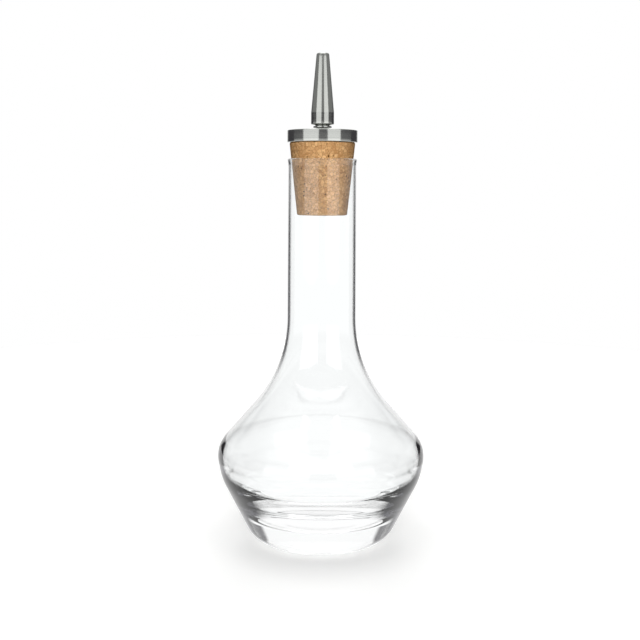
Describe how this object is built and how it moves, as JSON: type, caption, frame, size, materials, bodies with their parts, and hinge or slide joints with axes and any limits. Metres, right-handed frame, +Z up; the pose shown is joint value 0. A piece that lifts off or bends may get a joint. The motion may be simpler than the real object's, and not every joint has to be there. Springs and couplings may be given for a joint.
{
  "type": "bitters bottle",
  "caption": "Clear glass bitters bottle with a low wide belly on a thick base, a long straight neck and a tapered cork stopper that carries a steel disc and a slim dash spout.",
  "frame": {"origin": "centre of the flat base, on the bottle's axis", "axes": "+Z up along the axis from the base to the spout's tip; the object is round, so +X and +Y may point anywhere"},
  "size_m": [0.0728, 0.0728, 0.1682],
  "materials": {
    "clear_glass": "colourless blown glass, fire polished",
    "cork": "pressed cork granules, ground and bare",
    "steel": "turned stainless steel, smooth satin"
  },
  "bodies": {
    "bottle": {"bottle": "clear_glass"},
    "stopper": {"cork_stopper": "cork"},
    "dasher": {"cap_disc": "steel", "spout": "steel", "stem_tube": "steel"}
  },
  "joints": [
    {"name": "stopper_lift", "type": "slide", "parent": "bottle", "child": "stopper", "axis": [0, 0, 1], "range_m": [0, 0.07]},
    {"name": "dasher_turn", "type": "hinge", "parent": "stopper", "child": "dasher", "pos_m": [0, 0, 0.1387], "axis": [0, 0, 1], "continuous": true}
  ]
}
